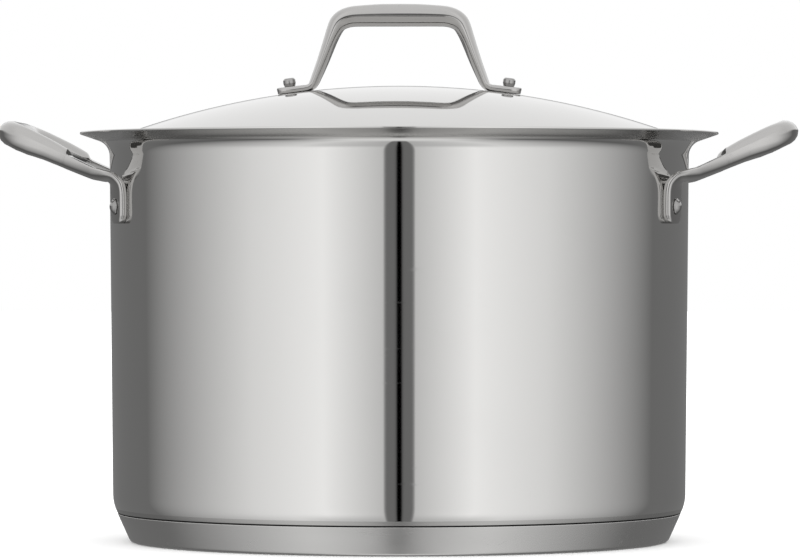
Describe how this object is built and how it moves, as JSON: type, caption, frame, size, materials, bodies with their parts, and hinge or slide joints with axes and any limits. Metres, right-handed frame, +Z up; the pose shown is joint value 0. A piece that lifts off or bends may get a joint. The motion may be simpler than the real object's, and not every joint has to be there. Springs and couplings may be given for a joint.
{
  "type": "water bath canner",
  "caption": "Flared stainless stock pot with an encapsulated base, riveted loop handles, a domed lid with a loop handle, and a lift-out wire jar rack with folding handles.",
  "frame": {"origin": "centre of the pot's underside, on the surface it stands on", "axes": "+Z up through the lid handle; +X to the right-hand side handle, so the lid handle and both side handles lie along X; -Y is the front"},
  "size_m": [0.4224, 0.3382, 0.2846],
  "materials": {
    "polished_sheet": "mirror-polished stainless sheet with a faint turned grain",
    "base_sheet": "turned satin stainless cap",
    "cast_handle": "polished cast stainless with fine cross brushing",
    "rivet_steel": "tumbled stainless",
    "core_aluminium": "pressed aluminium, not seen",
    "rack_wire": "electropolished stainless wire"
  },
  "bodies": {
    "pot": {"pot_shell": "polished_sheet", "base_core": "core_aluminium", "base_cap": "base_sheet", "left_handle": "cast_handle", "right_handle": "cast_handle", "left_handle_front_rivet": "rivet_steel", "left_handle_rear_rivet": "rivet_steel", "right_handle_front_rivet": "rivet_steel", "right_handle_rear_rivet": "rivet_steel"},
    "lid": {"lid_dome": "polished_sheet", "lid_handle": "cast_handle", "lid_handle_left_rivet": "rivet_steel", "lid_handle_right_rivet": "rivet_steel"},
    "jar_rack": {"rack_base_ring": "rack_wire", "rack_floor_wires": "rack_wire", "rack_feet": "rack_wire", "rack_uprights": "rack_wire", "rack_top_ring": "rack_wire", "rack_centre_ring": "rack_wire", "rack_dividers": "rack_wire", "rack_left_pivot_eyes": "rack_wire", "rack_right_pivot_eyes": "rack_wire"},
    "rack_left_bail": {"rack_left_handle": "rack_wire"},
    "rack_right_bail": {"rack_right_handle": "rack_wire"}
  },
  "joints": [
    {"name": "lid_lift", "type": "slide", "parent": "pot", "child": "lid", "axis": [0, 0, 1], "range_m": [0, 0.45]},
    {"name": "rack_lift", "type": "slide", "parent": "pot", "child": "jar_rack", "axis": [0, 0, 1], "range_m": [0, 0.23]},
    {"name": "rack_left_handle_fold", "type": "hinge", "parent": "jar_rack", "child": "rack_left_bail", "pos_m": [-0.13046, 0, 0.10875], "axis": [0, -1, 0], "range_deg": [0, 95]},
    {"name": "rack_right_handle_fold", "type": "hinge", "parent": "jar_rack", "child": "rack_right_bail", "pos_m": [0.13046, 0, 0.10875], "axis": [0, 1, 0], "range_deg": [0, 95]}
  ],
  "couplings": [
    {"joint": "rack_lift", "follows": "lid_lift", "ratio": 0.5}
  ]
}
